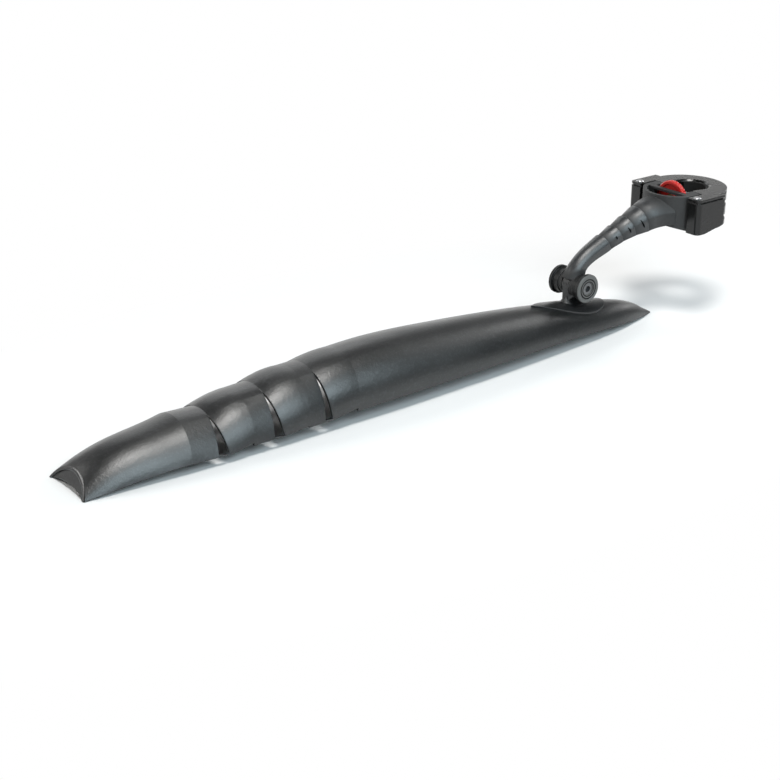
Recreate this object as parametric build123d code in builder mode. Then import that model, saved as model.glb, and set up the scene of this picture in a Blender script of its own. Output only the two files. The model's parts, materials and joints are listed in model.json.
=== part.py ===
from build123d import *
from math import acos, cos, radians, sin
import os

os.makedirs("parts", exist_ok=True)

# Bicycle mudguard that clamps to a seatpost, in millimetres.
# The origin is on the axis of the seatpost, half way up the clamp. The blade runs towards -X.

# Blade
floor_z = -92.5
blade_wall = 2.4
rim_round = 1.5

# Each section: distance from the rear end, lean in degrees, half width, and the heights of the lower edge
# and of the crown, both measured along the leaning section
rear_sections = [(0, 30, 25.0, 0.0, 15.2), (15.9, 22, 27.1, 2.3, 22.8), (41.5, 14, 29.4, 5.1, 27.3)]
creases = [
    (78.8, 10, 32.5, 7.4, 32.3),
    (128.2, 10, 33.9, 7.9, 38.4),
    (174.6, 10, 34.6, 9.1, 44.4),
    (218, 10, 34.7, 10.5, 48.3),
]
strip_ends = [(99.8, 13, 33.0, 6.6, 31.8), (146.0, 8, 33.8, 7.9, 38.9), (189.8, 6, 34.4, 9.1, 44.3)]
scale_tops = [(115, 10, 34.3, 7.7, 36.6), (158, 10, 35.0, 9.0, 43.4), (202, 10, 35.0, 10.4, 47.6)]

# In front of the gills, a section starts with its share of the way from the last crease to the hinge
front_shares = [
    (0.12, 5, 35.0, 11.0, 48.7),
    (0.27, 0, 34.2, 11.2, 47.8),
    (0.483, 0, 32.1, 11.1, 44.2),
    (0.72, 0, 28.6, 10.7, 38.9),
    (0.954, 0, 23.6, 9.4, 31.5),
]

# In the nose it starts with its distance ahead of the hinge
nose_steps = [(35.5, 0, 18.0, 6.2, 24.2), (64.5, 0, 11.0, 2.8, 16.8), (80.5, 0, 6.2, 1.1, 8.4)]
nose_tip = (93.5, 0, 0.9, 0.0, 1.2)

# Gills: a recessed strip runs under the raised edge of the next scale, and a slot opens between them
crown_share = 0.28
scale_dip = 1.2
scale_edge_share = 0.15
scale_lifts = [2.3, 1.5, 2.8]
slot_depths = [8.5, 8.0, 6.2]
slot_inner_halves = [9.5, 9.0, 9.5]
slot_foot = 1.5
slot_head = 0.6
slot_waist_share = 0.45
slot_heel_rise = 0.5

# Lip inside the rear end
lip_recess = 0.8
lip_thickness = 2.0
lip_half_width = 22.0
lip_rise = 3.2

# Hinge, and its distance from the rear end of the blade
hinge_x = -133.0
hinge_z = -46.0
hinge_station = 466.5
tongue_half = 3.5
tongue_radius = 9.2
disc_thickness = 0.8
disc_radius = 8.8
hinge_gap = 0.15
fork_clearance = 1.0
cheek_outer = 8.4
cheek_radius = 9.6
bolt_radius = 3.0
running_gap = 0.05
bolt_head_radius = 5.0
bolt_head_length = 4.0
socket_across = 5.0
socket_depth = 2.4
knob_face = 17.6
flange_radius = 12.0
flange_thickness = 3.2
flange_chamfer = 0.8
face_groove_radius = 8.0
face_groove_width = 0.9
face_groove_depth = 0.5
hub_radius = 10.2
head_recess = 0.6
nut_across = 10.0
nut_length = 4.4
seat_gap = 0.1

# Pivot base: how far its leaf reaches behind and ahead of the hinge, and where it is widest
leaf_behind = 46.5
leaf_ahead = 33.0
leaf_widest = 4.0
leaf_half = 15.5
leaf_gap = 0.1
leaf_thickness = 1.3
leaf_drop = 12.0
collar_foot = (15.0, 9.0)
collar_top = (9.5, 3.4)
collar_height = 7.0
neck_half = 8.6

# Screws under the pivot base, placed from the hinge
screw_offsets = [-22.0, 20.0]
screw_radius = 1.9
screw_length = 5.6
screw_head_radius = 3.6
screw_head_height = 2.4
washer_radius = 5.0
washer_thickness = 1.0
washer_drop = 1.7
boss_radius = 3.4
boss_gap = 0.2

# Arm: x, z, slope in degrees, half width and thickness of each section
arm_foot = [
    (-134.5, -41.0, 78, 8.4, 17.5),
    (-131.3, -31.9, 52, 7.6, 11.0),
    (-114.4, -20.6, 31, 8.0, 11.5),
]
arm_rings = [
    (-102.4, -15.4, 24.5, 8.75, 12.2),
    (-89.0, -10.3, 19.5, 9.6, 13.1),
    (-76.0, -6.0, 16.5, 11.0, 15.6),
    (-62.5, -2.3, 12.5, 13.0, 19.4),
]
arm_head = [(-50.0, 0.9, 6, 15.5, 21.0), (-37.0, 1.5, 2, 20.0, 21.5)]
arm_wall = 3.0
ring_step = 1.3
ring_foot_share = 0.3
dimple_ahead = 8.7
dimple_drops = [2.8, 2.6, 3.2]
dimple_heights = [3.2, 5.4, 7.6]
dimple_width = 1.6
dimple_depth = 1.4
dimple_lean = 12.0

# Clamp
clamp_half_height = 15.0
post_radius = 13.6
ring_radius = 34.4
ring_centre_x = -4.5
ring_hole_radius = 16.0
ring_front_x = -13.5
ear_front_x = -31.5
ear_back_x = 0.0
ear_outer = 40.0
ear_inner = 27.5
ear_round = 4.0
rim_height = 1.6
rim_overhang = 1.2
rim_groove = 1.6
ear_slope_x = -22.0
ear_slope_rise = 4.5
groove_depth = 3.0
groove_height = 5.0
groove_levels = [3.2, -9.2]
groove_start_x = 8.0
liner_half_angle = 62.0
liner_end_gap = 1.5
mouth_chamfer = 1.5

# Housing
housing_half = 25.4
housing_bulge_x = -44.5
housing_back_x = -14.0
housing_wall = 2.2
housing_undercut = 5.3
bar_front_x = -28.0
bar_back_x = -23.5
bar_height = 2.2
window_height = 5.0
window_half = 15.5
pocket_floor_z = -4.0
well_half = 17.2
channel_half = 15.6

# Ear pins
pin_x = -26.5
pin_y = 33.0
pin_radius = 2.0
pin_head_radius = 3.2
pin_head_height = 0.9
pin_end_z = -13.0
lug_half_height = 6.0
lug_front_x = -29.0
lug_back_x = -21.0
lug_end_y = 36.0
lug_gap = 0.3

# Thumbwheel, stud and jaw
screw_drop = 9.5
wheel_radius = 16.5
wheel_front_x = -23.2
wheel_back_x = -18.8
wheel_round = 0.8
wheel_dish = 1.0
wheel_rim = 3.0
flute_count = 40
flute_radius = 0.8
flute_depth = 0.35
insert_radius = 5.0
stud_radius = 3.0
stud_front_x = -32.0
stud_hole_radius = 3.5
stud_head_radius = 5.5
stud_head_thickness = 1.6
stud_seat_x = -16.9
jaw_back_x = -18.5
jaw_front_x = -8.0
jaw_half = 15.2
jaw_end_gap = 2.5
pad_thickness = 1.5
pad_half_angle = 56.0
pad_gap = 0.05
pad_end_gap = 3.0

# Sizes that follow from the ones above
blade_rear_x = hinge_x - hinge_station
fork_inner = tongue_half + disc_thickness + hinge_gap
hub_end = knob_face - flange_thickness
jaw_radius = post_radius + pad_thickness
screw_z = clamp_half_height - screw_drop
jaw_half_height = clamp_half_height - jaw_end_gap
pad_half_height = clamp_half_height - pad_end_gap
liner_half_height = clamp_half_height - liner_end_gap
front_start = creases[-1][0]
front_length = hinge_station - front_start
front_sections = [(front_start + share * front_length, *rest) for share, *rest in front_shares]
front_sections += [(hinge_station + ahead, *rest) for ahead, *rest in nose_steps]
front_end = (hinge_station + nose_tip[0], *nose_tip[1:])
front_run = creases[-1:] + front_sections
hollow_run = arm_foot[-1:] + arm_rings + arm_head[:1]


def section_plane(distance, lean):
    """Plane across the blade. Local x is the width, and local y goes up along the section."""
    ahead = (cos(radians(lean)), 0, -sin(radians(lean)))
    return Plane((blade_rear_x + distance, 0, floor_z), x_dir=(0, 1, 0), z_dir=ahead)


def flank_plane(distance, lean):
    """Plane along the blade. Local x goes forward from a section, and local y up along it."""
    ahead = (cos(radians(lean)), 0, -sin(radians(lean)))
    return Plane((blade_rear_x + distance, 0, floor_z), x_dir=ahead, z_dir=(0, -1, 0))


def arch_circle(half_width, edge, crown):
    """Radius and centre height of the circle through both lower edges and the crown."""
    rise = crown - edge
    radius = (half_width**2 + rise**2) / (2 * rise)
    return radius, crown - radius


def arch_points(radius, centre, angles):
    return [(radius * sin(angle), centre + radius * cos(angle)) for angle in angles]


def arch_wall(section):
    """Thin arch across the blade, with flat lower edges."""
    distance, lean, half_width, edge, crown = section
    arcs = []
    for wall in (0, blade_wall):
        radius, centre = arch_circle(half_width - wall, edge, crown - wall)
        end = acos((edge - centre) / radius)
        arcs.append(arch_points(radius, centre, [-end, 0, end]))
    outer, inner = arcs
    with BuildSketch(section_plane(distance, lean)) as wall_face:
        with BuildLine():
            ThreePointArc(*outer)
            Line(outer[-1], inner[-1])
            ThreePointArc(*reversed(inner))
            Line(inner[0], outer[0])
        make_face()
    return wall_face.sketch


def arch_solid(section, offset):
    """Filled arch, its arc moved out by the offset."""
    distance, lean, half_width, edge, crown = section
    radius, centre = arch_circle(half_width, edge, crown)
    end = acos((edge - centre) / (radius + offset))
    points = arch_points(radius + offset, centre, [-end, 0, end])
    with BuildSketch(section_plane(distance, lean)) as filled:
        with BuildLine():
            ThreePointArc(*points)
            Line(points[-1], points[0])
        make_face()
    return filled.sketch


def gill_arcs(radius, centre, end, bulge):
    """Near flank, crown and far flank of one face of a gill section."""
    shoulder = crown_share * end
    near = arch_points(radius, centre, [-end])
    near += arch_points(radius + bulge, centre, [-(end + shoulder) / 2])
    near += arch_points(radius, centre, [-shoulder])
    far = [(-y, z) for y, z in reversed(near)]
    return [near, [near[-1], (0, centre + radius), far[0]], far]


def gill_wall(section, bulge=0, lift=0):
    """Thin arch in three arcs. The bulge moves its flanks out, and the lift shortens them."""
    distance, lean, half_width, edge, crown = section
    arcs = []
    for wall in (0, blade_wall):
        radius, centre = arch_circle(half_width - wall, edge, crown - wall)
        end = acos((edge + lift - centre) / radius)
        arcs.append(gill_arcs(radius, centre, end, bulge))
    outer, inner = arcs
    edges = [ThreePointArc(*arc, mode=Mode.PRIVATE) for arc in outer + inner]
    for side in (0, -1):
        edges.append(Line(outer[side][side], inner[side][side], mode=Mode.PRIVATE))
    return Face(Wire(edges)).moved(section_plane(distance, lean).location)


def crown_height(distance):
    """Height of the crown over the floor in the front part, straight between sections."""
    for rear, front in zip(front_sections, front_sections[1:]):
        if rear[0] <= distance <= front[0]:
            share = (distance - rear[0]) / (front[0] - rear[0])
            return rear[-1] + share * (front[-1] - rear[-1])
    return front_sections[-1][-1]


def arm_plane(station, turn=0):
    """Plane along the arm. Local x follows its slope, and local y goes up across it."""
    x, z, slope = station[:3]
    along = (cos(radians(slope + turn)), 0, sin(radians(slope + turn)))
    return Plane((x, 0, z), x_dir=along, z_dir=(0, -1, 0))


def arm_section(station, inset=0, step=0):
    """Arched section of the arm, square to its slope. The inset makes the hollow, and the step a ring."""
    x, z, slope, half_width, thickness = station
    across = Plane((x, 0, z), x_dir=(0, 1, 0), z_dir=(cos(radians(slope)), 0, sin(radians(slope))))
    foot_half = half_width - inset - ring_foot_share * step
    half = half_width - inset - step
    foot = -thickness / 2 - inset
    with BuildSketch(across) as profile:
        with BuildLine():
            Polyline((half, 0), (foot_half, foot), (-foot_half, foot), (-half, 0))
            ThreePointArc((-half, 0), (0, thickness / 2 - inset - step), (half, 0))
        make_face()
    return profile.sketch


screw_plane = Plane((0, 0, screw_z), x_dir=(0, 1, 0), z_dir=(1, 0, 0))

# Lip that closes the top of the rear end
with BuildPart() as rear_lip:
    loft([arch_solid(section, -blade_wall / 2) for section in rear_sections])
    with BuildSketch(section_plane(*rear_sections[0][:2]).offset(lip_recess)):
        Rectangle(4 * lip_half_width, 4 * lip_half_width)
    extrude(amount=lip_thickness, mode=Mode.INTERSECT)
    with BuildSketch(section_plane(0, 0)):
        with BuildLine():
            ThreePointArc((-lip_half_width, 0), (0, lip_rise), (lip_half_width, 0))
            Line((lip_half_width, 0), (-lip_half_width, 0))
        make_face()
    extrude(amount=rear_sections[-1][0], mode=Mode.SUBTRACT)

# Rear end of the blade, with a rounded rim
with BuildPart() as rear_end:
    loft([arch_wall(section) for section in rear_sections + creases[:1]])
    rim_face = rear_end.faces().filter_by(GeomType.PLANE).sort_by(Axis.X)[0]
    fillet(rim_face.edges().sort_by(SortBy.LENGTH)[-1], rim_round)
    add(rear_lip.part)

# Blade
with BuildPart() as blade:
    for gill, strip_end in enumerate(strip_ends):
        distance, lean, half_width, edge, crown = strip_end
        bulge = scale_edge_share * (scale_tops[gill][-1] - crown)
        scale = [gill_wall(strip_end, bulge), gill_wall(scale_tops[gill])]
        scale.append(gill_wall(creases[gill + 1], 0, scale_lifts[gill]))
        loft(scale)
        foot = edge + slot_foot
        heel = foot + slot_heel_rise
        head = crown - slot_head
        depth = slot_depths[gill]
        for side in (-1, 1):
            with BuildSketch(flank_plane(distance, lean).offset(side * slot_inner_halves[gill])):
                with BuildLine():
                    Line((0, foot), (depth, heel))
                    ThreePointArc((depth, heel), (slot_waist_share * depth, (heel + head) / 2), (0, head))
                    Line((0, head), (0, foot))
                make_face()
            extrude(amount=side * half_width, mode=Mode.SUBTRACT)
    for crease, strip_end in zip(creases, strip_ends):
        loft([gill_wall(crease), gill_wall(strip_end, -scale_dip)], ruled=True)
    add(rear_end.part)
    loft([arch_wall(section) for section in front_run])
    loft([arch_solid(front_sections[-1], 0), arch_solid(front_end, 0)])
    with Locations([(hinge_x + offset_x, 0, floor_z) for offset_x in screw_offsets]):
        Cylinder(
            boss_radius + boss_gap,
            front_sections[0][-1],
            align=(Align.CENTER, Align.CENTER, Align.MIN),
            mode=Mode.SUBTRACT,
        )

# Pivot base: leaf on the crown, collar and hinge tongue
with BuildPart() as pivot_base:
    crown_z = floor_z + crown_height(hinge_station)
    with BuildSketch(Plane((hinge_x, 0, crown_z - leaf_drop))):
        with BuildLine():
            for side in (-1, 1):
                Spline((-leaf_behind, 0), (leaf_widest, side * leaf_half), tangents=[(2, side), (1, 0)])
            EllipticalCenterArc((leaf_widest, 0), leaf_ahead - leaf_widest, leaf_half, -90, arc_size=180)
        make_face()
    extrude(amount=2 * leaf_drop)
    loft([arch_solid(section, leaf_gap + leaf_thickness) for section in front_run], mode=Mode.INTERSECT)
    with BuildSketch(Plane((hinge_x, 0, crown_z))):
        Ellipse(*collar_foot)
    with BuildSketch(Plane((hinge_x, 0, crown_z + collar_height))):
        Ellipse(*collar_top)
    loft()
    with BuildSketch(Plane.XZ):
        with Locations((hinge_x, hinge_z)):
            Circle(tongue_radius)
        with Locations((hinge_x, (hinge_z + crown_z) / 2)):
            Rectangle(2 * neck_half, hinge_z - crown_z)
    extrude(amount=tongue_half, both=True)
    loft([arch_solid(section, leaf_gap) for section in front_run], mode=Mode.SUBTRACT)
    for offset_x in screw_offsets:
        boss_foot = floor_z + crown_height(hinge_station + offset_x) - blade_wall - washer_drop
        with Locations((hinge_x + offset_x, 0, boss_foot)):
            Cylinder(
                boss_radius,
                blade_wall + washer_drop + leaf_thickness / 2,
                align=(Align.CENTER, Align.CENTER, Align.MIN),
            )
            Cylinder(
                screw_radius + running_gap,
                screw_length - washer_thickness + running_gap,
                align=(Align.CENTER, Align.CENTER, Align.MIN),
                mode=Mode.SUBTRACT,
            )
    with Locations(Location((hinge_x, 0, hinge_z), (90, 0, 0))):
        Cylinder(bolt_radius + running_gap, 4 * tongue_half, mode=Mode.SUBTRACT)

# Screws and washers that hold the pivot base from below
with BuildPart() as base_screws:
    for offset_x in screw_offsets:
        washer_top = floor_z + crown_height(hinge_station + offset_x) - blade_wall - washer_drop
        with Locations((hinge_x + offset_x, 0, washer_top - washer_thickness)):
            Cylinder(screw_radius, screw_length, align=(Align.CENTER, Align.CENTER, Align.MIN))
            Cylinder(screw_head_radius, screw_head_height, align=(Align.CENTER, Align.CENTER, Align.MAX))
        with Locations((hinge_x + offset_x, 0, washer_top - washer_thickness - screw_head_height)):
            Cylinder(
                screw_radius / 2,
                screw_head_height,
                align=(Align.CENTER, Align.CENTER, Align.CENTER),
                mode=Mode.SUBTRACT,
            )

with BuildPart() as base_washers:
    for offset_x in screw_offsets:
        washer_top = floor_z + crown_height(hinge_station + offset_x) - blade_wall - washer_drop
        with BuildSketch(Plane((hinge_x + offset_x, 0, washer_top - washer_thickness))):
            Circle(washer_radius)
            Circle(screw_radius + running_gap, mode=Mode.SUBTRACT)
    extrude(amount=washer_thickness)

# Friction discs on both sides of the tongue
with BuildPart() as friction_discs:
    for side in (-1, 1):
        with BuildSketch(Plane((hinge_x, side * tongue_half, hinge_z), x_dir=(1, 0, 0), z_dir=(0, side, 0))):
            Circle(disc_radius)
            Circle(bolt_radius + running_gap, mode=Mode.SUBTRACT)
    extrude(amount=disc_thickness)

# Arm with the housing of the clamp: it steps in after each ring, and a dimple follows on both flanks
with BuildPart() as arm:
    loft([arm_section(station) for station in arm_foot + arm_rings[:1]])
    for ring, next_ring in zip(arm_rings, arm_rings[1:]):
        loft([arm_section(ring, step=ring_step), arm_section(next_ring)])
    loft([arm_section(arm_rings[-1], step=ring_step)] + [arm_section(station) for station in arm_head])
    loft([arm_section(station, inset=arm_wall) for station in hollow_run], mode=Mode.SUBTRACT)
    for ring, drop, height in zip(arm_rings, dimple_drops, dimple_heights):
        half_width = ring[3]
        for side in (-1, 1):
            with BuildSketch(arm_plane(ring, dimple_lean).offset(side * (half_width - dimple_depth))):
                with Locations((dimple_ahead, -drop)):
                    Ellipse(dimple_width / 2, height / 2)
            extrude(amount=side * half_width, mode=Mode.SUBTRACT)
    with BuildSketch(Plane.XZ):
        with Locations((hinge_x, hinge_z)):
            Circle(cheek_radius)
    extrude(amount=cheek_outer, both=True)
    with BuildSketch(Plane.XZ):
        with Locations((hinge_x, hinge_z)):
            Circle(tongue_radius + fork_clearance)
            with Locations((0, -tongue_radius)):
                Rectangle(2 * (tongue_radius + fork_clearance), 2 * tongue_radius)
    extrude(amount=fork_inner, both=True, mode=Mode.SUBTRACT)
    with Locations(Location((hinge_x, 0, hinge_z), (90, 0, 0))):
        Cylinder(bolt_radius + running_gap, 4 * cheek_outer, mode=Mode.SUBTRACT)
    with BuildSketch(Plane.XY.offset(-clamp_half_height)):
        with BuildLine():
            ThreePointArc((bar_front_x, -housing_half), (housing_bulge_x, 0), (bar_front_x, housing_half))
            Polyline(
                (bar_front_x, housing_half),
                (housing_back_x, housing_half),
                (housing_back_x, -housing_half),
                (bar_front_x, -housing_half),
            )
        make_face()
    extrude(amount=2 * clamp_half_height)
    with BuildSketch(Plane.XZ):
        Polygon(
            (bar_front_x, -clamp_half_height),
            (housing_bulge_x, -clamp_half_height),
            (housing_bulge_x, housing_undercut - clamp_half_height),
            align=None,
        )
    extrude(amount=housing_half, both=True, mode=Mode.SUBTRACT)
    with BuildSketch(Plane.XY.offset(pocket_floor_z)):
        with BuildLine():
            pocket_half = housing_half - 2 * housing_wall
            pocket_bulge_x = housing_bulge_x + housing_wall
            ThreePointArc((bar_front_x, -pocket_half), (pocket_bulge_x, 0), (bar_front_x, pocket_half))
            Line((bar_front_x, pocket_half), (bar_front_x, -pocket_half))
        make_face()
    extrude(amount=2 * clamp_half_height, mode=Mode.SUBTRACT)
    with BuildSketch(Plane.XY):
        with Locations((bar_back_x, 0)):
            Rectangle(jaw_back_x - bar_back_x, 2 * well_half, align=(Align.MIN, Align.CENTER))
        with Locations((jaw_back_x, 0)):
            Rectangle(housing_back_x - jaw_back_x, 2 * channel_half, align=(Align.MIN, Align.CENTER))
    extrude(amount=clamp_half_height, both=True, mode=Mode.SUBTRACT)
    with BuildSketch(Plane((bar_front_x, 0, clamp_half_height - bar_height), x_dir=(0, 1, 0), z_dir=(1, 0, 0))):
        Rectangle(2 * window_half, window_height, align=(Align.CENTER, Align.MAX))
        with Locations((0, screw_z + bar_height - clamp_half_height)):
            Circle(stud_hole_radius)
            slot_top = clamp_half_height - bar_height - window_height / 2
            Rectangle(2 * stud_hole_radius, slot_top - screw_z, align=(Align.CENTER, Align.MIN))
    extrude(amount=bar_back_x - bar_front_x, mode=Mode.SUBTRACT)
    with BuildSketch(Plane.XY):
        for side in (-1, 1):
            with Locations(((lug_front_x + lug_back_x) / 2, side * (housing_half + lug_end_y) / 2)):
                Rectangle(lug_back_x - lug_front_x, lug_end_y - housing_half)
            with Locations((pin_x, side * pin_y)):
                Circle(pin_radius + running_gap, mode=Mode.SUBTRACT)
    extrude(amount=lug_half_height, both=True)

# Hinge bolt, nut and knobs
with BuildPart() as hinge_bolt:
    with BuildSketch(Plane((hinge_x, -knob_face + head_recess, hinge_z), x_dir=(1, 0, 0), z_dir=(0, 1, 0))):
        Circle(bolt_head_radius)
    extrude(amount=bolt_head_length)
    with BuildSketch(Plane((hinge_x, -knob_face + head_recess, hinge_z), x_dir=(1, 0, 0), z_dir=(0, 1, 0))):
        Circle(bolt_radius)
    extrude(amount=2 * (knob_face - head_recess))
    with BuildSketch(Plane((hinge_x, -knob_face + head_recess, hinge_z), x_dir=(1, 0, 0), z_dir=(0, 1, 0))):
        RegularPolygon(socket_across / 2, 6, major_radius=False)
    extrude(amount=socket_depth, mode=Mode.SUBTRACT)

with BuildPart() as hinge_nut:
    with BuildSketch(Plane((hinge_x, knob_face - head_recess, hinge_z), x_dir=(1, 0, 0), z_dir=(0, -1, 0))):
        RegularPolygon(nut_across / 2, 6, major_radius=False)
        Circle(bolt_radius + running_gap, mode=Mode.SUBTRACT)
    extrude(amount=nut_length)

with BuildPart() as near_knob:
    with BuildSketch(Plane((hinge_x, -cheek_outer, hinge_z), x_dir=(1, 0, 0), z_dir=(0, -1, 0))):
        Circle(hub_radius)
    extrude(amount=hub_end - cheek_outer)
    with BuildSketch(Plane((hinge_x, -hub_end, hinge_z), x_dir=(1, 0, 0), z_dir=(0, -1, 0))):
        Circle(flange_radius)
    extrude(amount=flange_thickness)
    chamfer(near_knob.edges().filter_by(GeomType.CIRCLE).group_by(Axis.Y)[0], flange_chamfer)
    with Locations(Location((hinge_x, 0, hinge_z), (90, 0, 0))):
        Cylinder(bolt_radius + running_gap, 2 * knob_face, mode=Mode.SUBTRACT)
    with BuildSketch(Plane((hinge_x, -knob_face, hinge_z), x_dir=(1, 0, 0), z_dir=(0, 1, 0))):
        Circle(bolt_head_radius + seat_gap)
    extrude(amount=head_recess + bolt_head_length, mode=Mode.SUBTRACT)
    with BuildSketch(Plane((hinge_x, -knob_face, hinge_z), x_dir=(1, 0, 0), z_dir=(0, 1, 0))):
        Circle(face_groove_radius + face_groove_width / 2)
        Circle(face_groove_radius - face_groove_width / 2, mode=Mode.SUBTRACT)
    extrude(amount=face_groove_depth, mode=Mode.SUBTRACT)

with BuildPart() as far_knob:
    with BuildSketch(Plane((hinge_x, cheek_outer, hinge_z), x_dir=(1, 0, 0), z_dir=(0, 1, 0))):
        Circle(hub_radius)
    extrude(amount=hub_end - cheek_outer)
    with BuildSketch(Plane((hinge_x, hub_end, hinge_z), x_dir=(1, 0, 0), z_dir=(0, 1, 0))):
        Circle(flange_radius)
    extrude(amount=flange_thickness)
    chamfer(far_knob.edges().filter_by(GeomType.CIRCLE).group_by(Axis.Y)[-1], flange_chamfer)
    with Locations(Location((hinge_x, 0, hinge_z), (90, 0, 0))):
        Cylinder(bolt_radius + running_gap, 2 * knob_face, mode=Mode.SUBTRACT)
    with BuildSketch(Plane((hinge_x, knob_face, hinge_z), x_dir=(1, 0, 0), z_dir=(0, -1, 0))):
        RegularPolygon(nut_across / 2 + seat_gap, 6, major_radius=False)
    extrude(amount=head_recess + nut_length, mode=Mode.SUBTRACT)
    with BuildSketch(Plane((hinge_x, knob_face, hinge_z), x_dir=(1, 0, 0), z_dir=(0, -1, 0))):
        Circle(face_groove_radius + face_groove_width / 2)
        Circle(face_groove_radius - face_groove_width / 2, mode=Mode.SUBTRACT)
    extrude(amount=face_groove_depth, mode=Mode.SUBTRACT)

# Clamp yoke: D-shaped ring with an ear on each side
with BuildPart() as clamp_yoke:
    with BuildSketch(Plane.XY.offset(-clamp_half_height)):
        with Locations((ring_centre_x, 0)):
            Circle(ring_radius)
        with Locations((ear_front_x, 0)):
            Rectangle(ear_back_x - ear_front_x, 2 * ear_outer, align=(Align.MIN, Align.CENTER))
    extrude(amount=2 * clamp_half_height)
    fillet(clamp_yoke.edges().filter_by(Axis.Z).group_by(SortBy.DISTANCE)[-1], ear_round)
    with BuildSketch(Plane.XY.offset(clamp_half_height - rim_height - rim_groove)):
        add(clamp_yoke.faces().sort_by(Axis.Z)[-1].moved(Location((0, 0, -rim_height - rim_groove))))
        offset(amount=-rim_overhang, mode=Mode.SUBTRACT)
    extrude(amount=rim_groove, mode=Mode.SUBTRACT)
    with BuildSketch(Plane.XY.offset(-clamp_half_height)):
        Circle(ring_hole_radius)
        with Locations((ring_centre_x - ring_radius, 0)):
            Rectangle(
                ring_front_x - ring_centre_x + ring_radius, 2 * ear_inner, align=(Align.MIN, Align.CENTER)
            )
            Rectangle(ring_radius - ring_centre_x, 2 * channel_half, align=(Align.MIN, Align.CENTER))
    extrude(amount=2 * clamp_half_height, mode=Mode.SUBTRACT)
    for side in (-1, 1):
        with BuildSketch(Plane((0, side * ear_outer, 0), x_dir=(1, 0, 0), z_dir=(0, -1, 0))):
            Polygon(
                (ear_slope_x, -clamp_half_height),
                (ear_back_x, ear_slope_rise - clamp_half_height),
                (ear_back_x, -clamp_half_height),
                align=None,
            )
        extrude(amount=side * (ear_outer - ring_radius), mode=Mode.SUBTRACT)
    with Locations(
        Location((0, 0, clamp_half_height), (180, 0, 0)),
        Location((0, 0, -clamp_half_height)),
    ):
        Cone(
            ring_hole_radius + mouth_chamfer,
            ring_hole_radius,
            mouth_chamfer,
            align=(Align.CENTER, Align.CENTER, Align.MIN),
            mode=Mode.SUBTRACT,
        )
    for level in groove_levels:
        with BuildSketch(Plane.XY.offset(level - groove_height / 2)):
            with Locations((ring_centre_x, 0)):
                Circle(ring_radius + groove_depth)
                Circle(ring_radius - groove_depth, mode=Mode.SUBTRACT)
            with Locations((groove_start_x, 0)):
                Rectangle(ring_radius, 2 * ring_radius, align=(Align.MIN, Align.CENTER), mode=Mode.INTERSECT)
        extrude(amount=groove_height, mode=Mode.SUBTRACT)
    with BuildSketch(Plane.XY.offset(-lug_half_height - lug_gap)):
        for side in (-1, 1):
            with Locations((lug_front_x - lug_gap, side * ear_inner)):
                Rectangle(
                    lug_back_x - lug_front_x + 2 * lug_gap,
                    2 * (lug_end_y + lug_gap - ear_inner),
                    align=(Align.MIN, Align.CENTER),
                )
    extrude(amount=2 * (lug_half_height + lug_gap), mode=Mode.SUBTRACT)
    with Locations([(pin_x, side * pin_y, pin_end_z) for side in (-1, 1)]):
        Cylinder(
            pin_radius + running_gap,
            2 * clamp_half_height,
            align=(Align.CENTER, Align.CENTER, Align.MIN),
            mode=Mode.SUBTRACT,
        )

# Rubber liner at the back of the ring
with BuildPart() as yoke_liner:
    with BuildSketch(Plane.XY):
        Circle(ring_hole_radius)
        Circle(post_radius, mode=Mode.SUBTRACT)
        with BuildLine():
            reach = 2 * ring_hole_radius
            Polyline(
                (0, 0),
                (reach * cos(radians(liner_half_angle)), reach * sin(radians(liner_half_angle))),
                (reach, reach),
                (reach, -reach),
                (reach * cos(radians(liner_half_angle)), -reach * sin(radians(liner_half_angle))),
                close=True,
            )
        make_face(mode=Mode.INTERSECT)
    extrude(amount=liner_half_height, both=True)

# Pins that hold the ears to the housing
with BuildPart() as ear_pins:
    with Locations([(pin_x, side * pin_y, clamp_half_height) for side in (-1, 1)]):
        Cylinder(pin_radius, clamp_half_height - pin_end_z, align=(Align.CENTER, Align.CENTER, Align.MAX))
        Cylinder(pin_head_radius, pin_head_height, align=(Align.CENTER, Align.CENTER, Align.MIN))
    chamfer(ear_pins.edges().group_by(Axis.Z)[-1], pin_head_height / 2)

# Thumbwheel with a fluted rim, and its threaded insert
with BuildPart() as thumbwheel:
    with BuildSketch(screw_plane.offset(wheel_front_x)):
        Circle(wheel_radius)
    extrude(amount=wheel_back_x - wheel_front_x)
    chamfer(thumbwheel.edges().filter_by(GeomType.CIRCLE), wheel_round)
    with BuildSketch(screw_plane.offset(wheel_front_x)):
        Circle(wheel_radius - wheel_rim)
        Circle(2 * stud_radius, mode=Mode.SUBTRACT)
    extrude(amount=wheel_dish, mode=Mode.SUBTRACT)
    with BuildSketch(screw_plane.offset(wheel_front_x)):
        Circle(insert_radius + running_gap)
        with PolarLocations(wheel_radius + flute_radius - flute_depth, flute_count):
            Circle(flute_radius)
    extrude(amount=wheel_back_x - wheel_front_x, mode=Mode.SUBTRACT)

with BuildPart() as wheel_insert:
    with BuildSketch(screw_plane.offset(wheel_front_x)):
        Circle(insert_radius)
        Circle(stud_radius + running_gap, mode=Mode.SUBTRACT)
    extrude(amount=wheel_back_x - wheel_front_x)

# Stud that carries the jaw
with BuildPart() as clamp_stud:
    with BuildSketch(screw_plane.offset(stud_front_x)):
        Circle(stud_radius)
    extrude(amount=stud_seat_x - stud_front_x)
    with BuildSketch(screw_plane.offset(stud_seat_x)):
        Circle(stud_head_radius)
    extrude(amount=stud_head_thickness)

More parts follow.
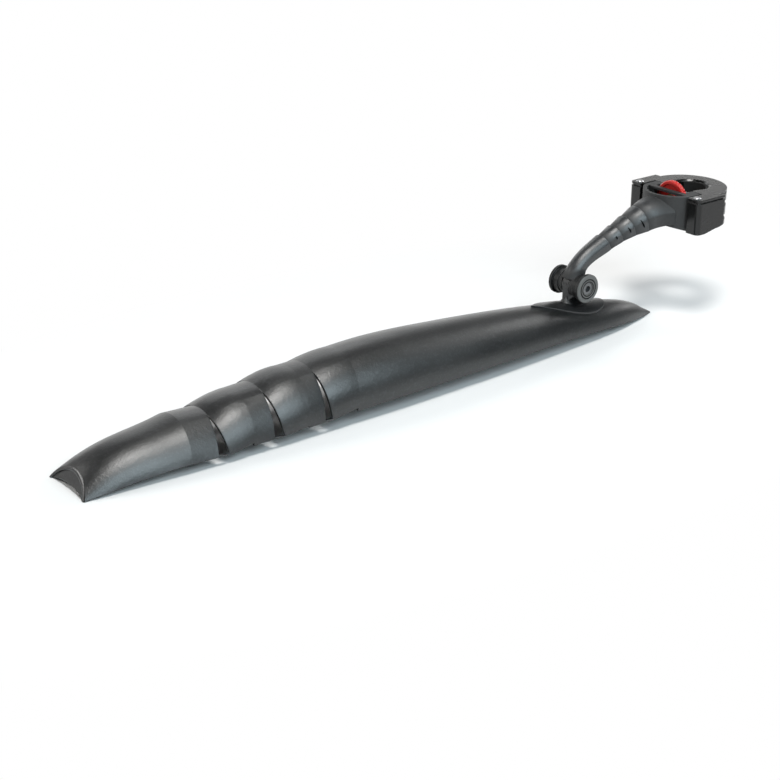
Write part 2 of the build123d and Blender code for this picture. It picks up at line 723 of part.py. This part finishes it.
# Jaw with a hollow face for the post
with BuildPart() as jaw:
    with BuildSketch(Plane.XY):
        with Locations((jaw_back_x, 0)):
            Rectangle(jaw_front_x - jaw_back_x, 2 * jaw_half, align=(Align.MIN, Align.CENTER))
        Circle(jaw_radius, mode=Mode.SUBTRACT)
    extrude(amount=jaw_half_height, both=True)
    with BuildSketch(screw_plane.offset(jaw_back_x)):
        Circle(stud_radius + running_gap)
    extrude(amount=-jaw_back_x, mode=Mode.SUBTRACT)
    with BuildSketch(screw_plane.offset(stud_seat_x)):
        Circle(stud_head_radius + seat_gap)
    extrude(amount=-stud_seat_x, mode=Mode.SUBTRACT)

# Rubber pad on the jaw
with BuildPart() as jaw_pad:
    with BuildSketch(Plane.XY):
        Circle(jaw_radius - pad_gap)
        Circle(post_radius, mode=Mode.SUBTRACT)
        with BuildLine():
            reach = 2 * jaw_radius
            Polyline(
                (0, 0),
                (-reach * cos(radians(pad_half_angle)), reach * sin(radians(pad_half_angle))),
                (-reach, reach),
                (-reach, -reach),
                (-reach * cos(radians(pad_half_angle)), -reach * sin(radians(pad_half_angle))),
                close=True,
            )
        make_face(mode=Mode.INTERSECT)
    extrude(amount=pad_half_height, both=True)

named_parts = {
    "blade": blade,
    "pivot_base": pivot_base,
    "base_screws": base_screws,
    "base_washers": base_washers,
    "friction_discs": friction_discs,
    "arm": arm,
    "hinge_bolt": hinge_bolt,
    "hinge_nut": hinge_nut,
    "near_knob": near_knob,
    "far_knob": far_knob,
    "clamp_yoke": clamp_yoke,
    "yoke_liner": yoke_liner,
    "ear_pins": ear_pins,
    "thumbwheel": thumbwheel,
    "wheel_insert": wheel_insert,
    "clamp_stud": clamp_stud,
    "jaw": jaw,
    "jaw_pad": jaw_pad,
}
for name, built in named_parts.items():
    built.part.label = name
    export_step(built.part, f"parts/{name}.step")
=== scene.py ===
import json
from math import cos, radians, sin

import bpy
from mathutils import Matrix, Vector


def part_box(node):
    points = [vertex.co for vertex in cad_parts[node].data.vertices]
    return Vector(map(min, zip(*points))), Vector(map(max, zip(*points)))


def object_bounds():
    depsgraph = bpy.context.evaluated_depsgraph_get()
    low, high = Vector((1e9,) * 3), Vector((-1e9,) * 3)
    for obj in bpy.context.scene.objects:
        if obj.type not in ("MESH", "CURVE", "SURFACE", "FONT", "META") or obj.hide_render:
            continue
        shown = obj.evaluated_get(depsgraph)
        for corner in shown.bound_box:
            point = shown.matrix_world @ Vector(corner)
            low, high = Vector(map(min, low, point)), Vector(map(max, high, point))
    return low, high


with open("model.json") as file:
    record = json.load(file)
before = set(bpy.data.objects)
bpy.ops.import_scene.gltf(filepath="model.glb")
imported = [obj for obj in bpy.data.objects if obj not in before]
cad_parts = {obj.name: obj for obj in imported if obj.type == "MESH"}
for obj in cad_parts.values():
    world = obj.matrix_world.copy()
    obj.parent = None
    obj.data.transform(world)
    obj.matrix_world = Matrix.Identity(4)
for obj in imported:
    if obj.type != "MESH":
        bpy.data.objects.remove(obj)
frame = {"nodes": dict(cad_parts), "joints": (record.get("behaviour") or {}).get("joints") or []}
cad_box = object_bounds()
nodes = frame["nodes"]
middle = (cad_box[0] + cad_box[1]) / 2
hinge_centre = next(joint["pos_m"] for joint in frame["joints"] if joint["name"] == "blade_tilt")
knob_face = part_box("far_knob")[1].y

# All lengths are in metres. A range or fade is the stretch of values over which an effect comes or goes

# Camera at the photograph's viewing angle, turned in degrees, with its lens and sensor in millimetres
camera_place = (-1.02314, -0.90767, 0.39836)
camera_turn = (66.846, 0.0, -37.617)
camera_lens = 74.77
camera_sensor = 36.0

# Edges of the mouldings: their rounding, and the polish that handling leaves on them in patches, paled
# further on the arm as a painted highlight
edge_round = 0.0007
edge_samples = 6
wear_round = 0.0006
wear_samples = 4
wear_range = (0.995, 0.80)
wear_patch_scale = 120.0
wear_patch_range = (0.38, 0.62)

# Grain of the mouldings: a coarse pebble under the fine one, and dust that pales its high points
coarse_grain = 0.45
high_point_range = (1.0, 1.35)
dust_paleness = 0.3
dust_cover = 0.5

# Gloss of the mouldings: broad clouds, and polished rubs that run along the length
moulding_cloud_scale = 18.0
cloud_range = (0.3, 0.7)
cloud_gloss = 0.05
rub_stretch = (12.0, 260.0, 260.0)
rub_scale = 4.0
rub_range = (0.60, 0.75)
rub_gloss = 0.06

# Faces of the knobs: painted light greys them, by the depth below the face, and painted shade darkens
# grooves at these radii
face_fade = (0.0008, 0.00048)
painted_light_face_colour = (0.11, 0.111, 0.108)
groove_radii = (0.0060, 0.0080)
groove_fade = (0.0004, 0.0008)
painted_shade_groove_colour = (0.001, 0.001, 0.001)

# Ring steps of the arm, each at an x and z with its slope in degrees
arm_steps = (
    (-0.1024, -0.0154, 24.5),
    (-0.0890, -0.0103, 19.5),
    (-0.0760, -0.0060, 16.5),
    (-0.0625, -0.0023, 12.5),
)

# Painted shade on the arm, which is also duller there: past each ring step, round the hinge, and along X at
# the housing
step_reach = 0.009
hinge_fade = (0.0125, 0.0150)
housing_fade = (-0.058, -0.046)
housing_share = 0.8
painted_shade_colour = (0.003, 0.0033, 0.0036)
painted_shade_dullness = 0.35

# Paper floor, which turns plain white at an oval round the object
floor_size = 12.0
floor_gap = 0.0002
floor_fade = (0.403, 0.62)
floor_narrowing = 2.2
paper_colour = (0.80, 0.80, 0.80, 1.0)
paper_roughness = 0.9

# Room: a pale backdrop behind the object, a dim rest and a dark ceiling
white = (1.0, 1.0, 1.0, 1.0)
backdrop_way = (0.6, 0.8, 0.0)
backdrop_range = (0.3, 0.8)
backdrop_light = 0.6
backdrop_top = 0.75
room_light = 0.06
ceiling_light = 0.03


def add_node(tree, kind, settings=None, inputs=None):
    """Adds a node, sets its properties, and sets or links its inputs."""
    made = tree.nodes.new(kind)
    for name, value in (settings or {}).items():
        setattr(made, name, value)
    for name, value in (inputs or {}).items():
        if isinstance(value, bpy.types.NodeSocket):
            tree.links.new(value, made.inputs[name])
        else:
            made.inputs[name].default_value = value
    return made


def object_place(tree):
    """Place on the object, in metres."""
    return add_node(tree, "ShaderNodeTexCoord").outputs["Object"]


def range_of(tree, value, low, high, to_low=0.0, to_high=1.0):
    """Value moved from one range to another and clamped."""
    inputs = {"Value": value, "From Min": low, "From Max": high, "To Min": to_low, "To Max": to_high}
    return add_node(tree, "ShaderNodeMapRange", inputs=inputs).outputs["Result"]


def combined(tree, operation, first, second=0.0):
    """Number from an operation on two numbers, or on the first alone."""
    return add_node(tree, "ShaderNodeMath", {"operation": operation}, {0: first, 1: second}).outputs[0]


def between_vectors(tree, operation, first, second):
    """Vector from an operation on two vectors."""
    made = add_node(tree, "ShaderNodeVectorMath", {"operation": operation}, {0: first, 1: second})
    return made.outputs["Vector"]


def along(tree, first, second):
    """Dot product of two vectors."""
    made = add_node(tree, "ShaderNodeVectorMath", {"operation": "DOT_PRODUCT"}, {0: first, 1: second})
    return made.outputs["Value"]


def distance_from(tree, where, centre, weights):
    """Distance from a centre with each axis weighted, so that a weight of 0 leaves an axis out."""
    offset = between_vectors(tree, "SUBTRACT", where, centre)
    weighted = between_vectors(tree, "MULTIPLY", offset, weights)
    made = add_node(tree, "ShaderNodeVectorMath", {"operation": "LENGTH"}, {0: weighted})
    return made.outputs["Value"]


def noise(tree, where, scale, detail=2.0):
    """Cloudy pattern around one half."""
    inputs = {"Vector": where, "Scale": scale, "Detail": detail}
    return add_node(tree, "ShaderNodeTexNoise", inputs=inputs).outputs["Fac"]


def mix_colour(tree, share, first, second):
    """Mix of two colours. On a Mix node, inputs 6 and 7 are the colours and output 2 is their mix."""
    mixed = add_node(tree, "ShaderNodeMix", {"data_type": "RGBA"}, {"Factor": share})
    for socket, colour in ((6, first), (7, second)):
        if isinstance(colour, bpy.types.NodeSocket):
            tree.links.new(colour, mixed.inputs[socket])
        else:
            mixed.inputs[socket].default_value = (*colour, 1.0)
    return mixed.outputs[2]


def new_group(name, inputs, outputs):
    """Node group with named number sockets. Returns the group and its input and output nodes."""
    group = bpy.data.node_groups.new(name, "ShaderNodeTree")
    for way, sockets in (("INPUT", inputs), ("OUTPUT", outputs)):
        for socket in sockets:
            group.interface.new_socket(socket, in_out=way, socket_type="NodeSocketFloat")
    return group, group.nodes.new("NodeGroupInput"), group.nodes.new("NodeGroupOutput")


def make_moulded_grain():
    """Fine pebble of a spark-eroded mould: its height, and the high points that hold dust."""
    group, given, result = new_group("moulded_grain", ["Scale"], ["Height", "Points"])
    where = object_place(group)
    fine = noise(group, where, given.outputs["Scale"])
    coarse_scale = combined(group, "MULTIPLY", given.outputs["Scale"], coarse_grain)
    coarse = noise(group, where, coarse_scale, detail=1.0)
    height = combined(group, "ADD", fine, coarse)
    group.links.new(height, result.inputs["Height"])
    group.links.new(range_of(group, height, *high_point_range), result.inputs["Points"])
    return group


def make_edge_wear():
    """Mask of edges that handling has polished, broken up along their length. On the arm it also carries a
    painted highlight.
    """
    group, given, result = new_group("edge_wear", ["Radius", "Breakup"], ["Mask"])
    rounding = {"Radius": given.outputs["Radius"]}
    rounded = add_node(group, "ShaderNodeBevel", {"samples": wear_samples}, rounding).outputs["Normal"]
    true_normal = add_node(group, "ShaderNodeNewGeometry").outputs["Normal"]
    edge = range_of(group, along(group, rounded, true_normal), *wear_range)
    patches = noise(group, object_place(group), given.outputs["Breakup"])
    broken = range_of(group, patches, *wear_patch_range)
    group.links.new(combined(group, "MULTIPLY", edge, broken), result.inputs["Mask"])
    return group


def make_surface_drift():
    """Slow change over a surface: broad clouds, and faint rubs along the length."""
    group, given, result = new_group("surface_drift", ["Scale"], ["Clouds", "Rubs"])
    where = object_place(group)
    clouds = noise(group, where, given.outputs["Scale"], detail=4.0)
    group.links.new(clouds, result.inputs["Clouds"])
    stretched = add_node(group, "ShaderNodeMapping", inputs={"Vector": where, "Scale": rub_stretch})
    rubs = noise(group, stretched.outputs["Vector"], rub_scale, detail=3.0)
    group.links.new(range_of(group, rubs, *rub_range), result.inputs["Rubs"])
    return group


grain_group = make_moulded_grain()
wear_group = make_edge_wear()
drift_group = make_surface_drift()


def use_group(tree, group, values):
    """Puts a node group into a material and returns its outputs."""
    return add_node(tree, "ShaderNodeGroup", {"node_tree": group}, values).outputs


def new_material(name):
    """Empty material with a Principled BSDF. Returns the material, its tree and the shader."""
    material = bpy.data.materials.new(name)
    material.use_nodes = True
    tree = material.node_tree
    return material, tree, tree.nodes["Principled BSDF"]


def moulded_plastic(name, colour, worn_and_highlight, roughness, grain_scale, grain_depth, specular=0.5):
    """Coloured plastic with a moulded grain, uneven gloss and polished edges, whose pale edge colour on the
    arm is also a painted highlight.
    """
    material, tree, shader = new_material(name)
    grain = use_group(tree, grain_group, {"Scale": grain_scale})
    wear = use_group(tree, wear_group, {"Radius": wear_round, "Breakup": wear_patch_scale})
    drift = use_group(tree, drift_group, {"Scale": moulding_cloud_scale})
    dusty = tuple((1 - dust_paleness) * part + dust_paleness * pale for part, pale in zip(colour, worn_and_highlight))
    base = mix_colour(tree, combined(tree, "MULTIPLY", grain["Points"], dust_cover), colour, dusty)
    base = mix_colour(tree, wear["Mask"], base, worn_and_highlight)
    tree.links.new(base, shader.inputs["Base Color"])
    gloss = (roughness - cloud_gloss, roughness + cloud_gloss)
    uneven = range_of(tree, drift["Clouds"], *cloud_range, *gloss)
    rubbed = combined(tree, "MULTIPLY", drift["Rubs"], -rub_gloss)
    tree.links.new(combined(tree, "ADD", uneven, rubbed), shader.inputs["Roughness"])
    shader.inputs["Specular IOR Level"].default_value = specular
    rounded = add_node(tree, "ShaderNodeBevel", {"samples": edge_samples}, {"Radius": edge_round})
    relief = {"Height": grain["Height"], "Distance": grain_depth, "Normal": rounded.outputs["Normal"]}
    bump = add_node(tree, "ShaderNodeBump", inputs=relief)
    tree.links.new(bump.outputs["Normal"], shader.inputs["Normal"])
    return material


def turned_metal(name, bright, dull, smooth, rough, cloud_scale=90.0):
    """Turned metal with duller and rougher patches."""
    material, tree, shader = new_material(name)
    drift = use_group(tree, drift_group, {"Scale": cloud_scale})
    tree.links.new(mix_colour(tree, drift["Clouds"], bright, dull), shader.inputs["Base Color"])
    gloss = range_of(tree, drift["Clouds"], *cloud_range, smooth, rough)
    tree.links.new(gloss, shader.inputs["Roughness"])
    shader.inputs["Metallic"].default_value = 1.0
    return material


def soft_rubber(name, clean, bloom, smooth, rough, grain_scale, grain_depth, specular, cloud_scale=60.0):
    """Dull black rubber with a powdery bloom."""
    material, tree, shader = new_material(name)
    grain = use_group(tree, grain_group, {"Scale": grain_scale})
    drift = use_group(tree, drift_group, {"Scale": cloud_scale})
    tree.links.new(mix_colour(tree, drift["Clouds"], clean, bloom), shader.inputs["Base Color"])
    gloss = range_of(tree, drift["Clouds"], *cloud_range, smooth, rough)
    tree.links.new(gloss, shader.inputs["Roughness"])
    shader.inputs["Specular IOR Level"].default_value = specular
    bump = add_node(tree, "ShaderNodeBump", inputs={"Height": grain["Height"], "Distance": grain_depth})
    tree.links.new(bump.outputs["Normal"], shader.inputs["Normal"])
    return material


def hinge_distance(tree, where):
    """Distance from the axis of the hinge bolt, which runs along Y."""
    return distance_from(tree, where, hinge_centre, (1.0, 0.0, 1.0))


def paint_shade_on_arm(material):
    """Paints shade onto the arm and dulls it round the hinge, at the housing, and past each ring step."""
    tree = material.node_tree
    shader = tree.nodes["Principled BSDF"]
    where = object_place(tree)
    painted_shade = range_of(tree, hinge_distance(tree, where), *hinge_fade, 1.0, 0.0)
    ahead = add_node(tree, "ShaderNodeSeparateXYZ", inputs={"Vector": where}).outputs["X"]
    painted_shade = combined(tree, "MAXIMUM", painted_shade, range_of(tree, ahead, *housing_fade, 0.0, housing_share))
    for x, z, slope in arm_steps:
        way = (cos(radians(slope)), 0.0, sin(radians(slope)))
        past = along(tree, between_vectors(tree, "SUBTRACT", where, (x, 0.0, z)), way)
        fading = range_of(tree, past, 0.0, step_reach, 1.0, 0.0)
        begun = combined(tree, "GREATER_THAN", past, 0.0)
        painted_shade = combined(tree, "MAXIMUM", painted_shade, combined(tree, "MULTIPLY", fading, begun))
    colour = shader.inputs["Base Color"].links[0].from_socket
    tree.links.new(mix_colour(tree, painted_shade, colour, painted_shade_colour), shader.inputs["Base Color"])
    roughness = shader.inputs["Roughness"].links[0].from_socket
    duller = combined(tree, "MULTIPLY", painted_shade, painted_shade_dullness)
    tree.links.new(combined(tree, "ADD", roughness, duller), shader.inputs["Roughness"])


def paint_light_and_shade_on_knob_faces(material):
    """Paints light on the end faces of the knobs, greying them, and paints shade in the grooves round the
    hinge bolt.
    """
    tree = material.node_tree
    shader = tree.nodes["Principled BSDF"]
    where = object_place(tree)
    side = add_node(tree, "ShaderNodeSeparateXYZ", inputs={"Vector": where}).outputs["Y"]
    face = range_of(tree, combined(tree, "ABSOLUTE", side), *(knob_face - depth for depth in face_fade))
    colour = mix_colour(tree, face, shader.inputs["Base Color"].links[0].from_socket, painted_light_face_colour)
    radius = hinge_distance(tree, where)
    for groove in groove_radii:
        gap = combined(tree, "ABSOLUTE", combined(tree, "SUBTRACT", radius, groove))
        colour = mix_colour(tree, range_of(tree, gap, *groove_fade, 1.0, 0.0), colour, painted_shade_groove_colour)
    tree.links.new(colour, shader.inputs["Base Color"])


# One finish for each material slot of the record
finishes = {
    "blade_plastic": moulded_plastic(
        "blade_black", colour=(0.002, 0.0024, 0.0026), worn_and_highlight=(0.09, 0.10, 0.105), roughness=0.41,
        grain_scale=1000.0, grain_depth=0.00009, specular=1.0),
    "base_plastic": moulded_plastic(
        "base_black", colour=(0.006, 0.0068, 0.0076), worn_and_highlight=(0.05, 0.05, 0.055), roughness=0.42,
        grain_scale=1500.0, grain_depth=0.00008, specular=0.7),
    # The arm's pale edge colour is a painted highlight along its edges as well as wear
    "arm_plastic": moulded_plastic(
        "arm_black", colour=(0.012, 0.013, 0.0145), worn_and_highlight=(0.15, 0.17, 0.18), roughness=0.40,
        grain_scale=1500.0, grain_depth=0.00006, specular=0.9),
    "yoke_plastic": moulded_plastic(
        "yoke_black", colour=(0.003, 0.0033, 0.0033), worn_and_highlight=(0.04, 0.04, 0.04), roughness=0.26,
        grain_scale=2000.0, grain_depth=0.000003),
    "wheel_red": moulded_plastic(
        "wheel_red", colour=(0.50, 0.013, 0.010), worn_and_highlight=(0.85, 0.12, 0.09), roughness=0.36,
        grain_scale=2000.0, grain_depth=0.00002),
    "disc_nylon": moulded_plastic(
        "disc_white", colour=(0.55, 0.55, 0.52), worn_and_highlight=(0.70, 0.70, 0.68), roughness=0.5,
        grain_scale=1500.0, grain_depth=0.00003),
    "steel": turned_metal(
        "steel_bright", bright=(0.62, 0.62, 0.63), dull=(0.46, 0.47, 0.49), smooth=0.22, rough=0.38),
    "dark_steel": turned_metal(
        "steel_dark", bright=(0.22, 0.225, 0.23), dull=(0.14, 0.145, 0.15), smooth=0.36, rough=0.52),
    "brass": turned_metal(
        "brass_turned", bright=(0.72, 0.51, 0.21), dull=(0.56, 0.37, 0.14), smooth=0.24, rough=0.42),
    "rubber": soft_rubber(
        "rubber_dull", clean=(0.006, 0.006, 0.006), bloom=(0.014, 0.014, 0.0135), smooth=0.70, rough=0.88,
        grain_scale=2200.0, grain_depth=0.00004, specular=0.2),
}
# Painted shade on the arm past its ring steps, round the hinge and at the housing
paint_shade_on_arm(finishes["arm_plastic"])

# The knobs share a slot with the pivot base, and have a finish of their own
knob_finish = moulded_plastic(
    "knob_black", colour=(0.008, 0.0084, 0.0086), worn_and_highlight=(0.08, 0.08, 0.08), roughness=0.46,
    grain_scale=1500.0, grain_depth=0.00005, specular=0.35)
# Painted light on the knob faces, and painted shade in their grooves
paint_light_and_shade_on_knob_faces(knob_finish)

# The frame's materials have the names of the slots, with a number after a dot where a name is repeated
for node in nodes.values():
    for slot in node.material_slots:
        slot.material = finishes[slot.material.name.split(".")[0]]
for name in ("near_knob", "far_knob"):
    nodes[name].material_slots[0].material = knob_finish


def make_floor():
    """Paper floor with the object's shadow near it. It is plain white further out and clear from below."""
    bpy.ops.object.select_all(action="DESELECT")
    height = cad_box[0].z - floor_gap
    bpy.ops.mesh.primitive_plane_add(size=floor_size, location=(0, 0, height))
    floor = bpy.context.object
    floor.name = "paper_floor"
    material, tree, shader = new_material("white_paper")
    shader.inputs["Base Color"].default_value = paper_colour
    shader.inputs["Roughness"].default_value = paper_roughness
    shader.inputs["Specular IOR Level"].default_value = 0.0
    path = add_node(tree, "ShaderNodeLightPath").outputs
    seen = combined(tree, "MAXIMUM", path["Is Camera Ray"], path["Is Glossy Ray"])
    seen = combined(tree, "MAXIMUM", seen, path["Is Transmission Ray"])
    centre = (middle.x, middle.y, 0.0)
    away = distance_from(tree, object_place(tree), centre, (1.0, floor_narrowing, 0.0))
    share = combined(tree, "MULTIPLY", seen, range_of(tree, away, *floor_fade))
    glow = add_node(tree, "ShaderNodeEmission", inputs={"Color": white, "Strength": 1.0})
    both = add_node(tree, "ShaderNodeMixShader", inputs={0: share, 1: shader.outputs[0], 2: glow.outputs[0]})
    below = add_node(tree, "ShaderNodeNewGeometry").outputs["Backfacing"]
    clear = add_node(tree, "ShaderNodeBsdfTransparent")
    sided = add_node(tree, "ShaderNodeMixShader", inputs={0: below, 1: both.outputs[0], 2: clear.outputs[0]})
    tree.links.new(sided.outputs[0], tree.nodes["Material Output"].inputs["Surface"])
    floor.data.materials.append(material)


def make_world():
    """Dim room with a pale backdrop behind the object. It shows plain white to the eye."""
    world = bpy.data.worlds.new("studio")
    world.use_nodes = True
    tree = world.node_tree
    path = add_node(tree, "ShaderNodeLightPath").outputs
    seen = combined(tree, "MAXIMUM", path["Is Camera Ray"], path["Is Transmission Ray"])
    direction = add_node(tree, "ShaderNodeTexCoord").outputs["Generated"]
    height = add_node(tree, "ShaderNodeSeparateXYZ", inputs={"Vector": direction}).outputs["Z"]
    facing = along(tree, direction, backdrop_way)
    wall = range_of(tree, facing, *backdrop_range, room_light, backdrop_light)
    room = range_of(tree, height, 0.0, backdrop_top, wall, ceiling_light)
    back = tree.nodes["Background"]
    tree.links.new(range_of(tree, seen, 0.0, 1.0, room, 1.0), back.inputs["Strength"])
    back.inputs["Color"].default_value = white
    bpy.context.scene.world = world


def add_softbox(name, stands, faces, width, height, power, colour):
    """Rectangular lamp that stands at one point and faces another. Its power is in watts."""
    lamp = bpy.data.lights.new(name, "AREA")
    lamp.shape = "RECTANGLE"
    lamp.size = width
    lamp.size_y = height
    lamp.energy = power
    lamp.color = colour
    box = bpy.data.objects.new(name, lamp)
    box.location = stands
    box.rotation_euler = (Vector(faces) - Vector(stands)).to_track_quat("-Z", "Y").to_euler()
    bpy.context.scene.collection.objects.link(box)


def make_lamps():
    """Overhead key, cool window on the near side, and smaller lamps round the far side and the clamp."""
    add_softbox(
        "key_softbox", stands=(-0.32, -0.32, 1.22), faces=middle,
        width=0.40, height=0.40, power=12.0, colour=(1.0, 0.985, 0.96))
    add_softbox(
        "window_softbox", stands=(-0.28, -0.92, 0.63), faces=(-0.47, 0.0, -0.07),
        width=0.86, height=0.64, power=9.5, colour=(0.78, 0.93, 1.0))
    add_softbox(
        "far_softbox", stands=(-1.15, 0.62, 0.50), faces=(-0.42, 0.0, -0.06),
        width=0.35, height=0.45, power=5.0, colour=(1.0, 0.99, 0.97))
    add_softbox(
        "back_softbox", stands=(0.05, 0.82, 0.57), faces=middle,
        width=0.80, height=0.28, power=1.8, colour=(0.97, 0.99, 1.0))
    add_softbox(
        "right_softbox", stands=(0.78, 0.02, 0.45), faces=(-0.10, 0.0, -0.07),
        width=0.36, height=0.36, power=3.5, colour=(1.0, 1.0, 1.0))
    add_softbox(
        "backdrop_softbox", stands=(0.35, 1.05, 0.08), faces=(middle.x, 0.0, 0.08),
        width=1.70, height=0.32, power=3.0, colour=(1.0, 1.0, 0.98))


def make_camera():
    """Camera of the photograph."""
    camera = bpy.data.cameras.new("photo_camera")
    camera.lens = camera_lens
    camera.sensor_width = camera_sensor
    seat = bpy.data.objects.new("photo_camera", camera)
    seat.location = camera_place
    seat.rotation_euler = [radians(turn) for turn in camera_turn]
    bpy.context.scene.collection.objects.link(seat)
    bpy.context.scene.camera = seat


bpy.context.scene.view_settings.view_transform = "Standard"
make_floor()
make_world()
make_lamps()
make_camera()
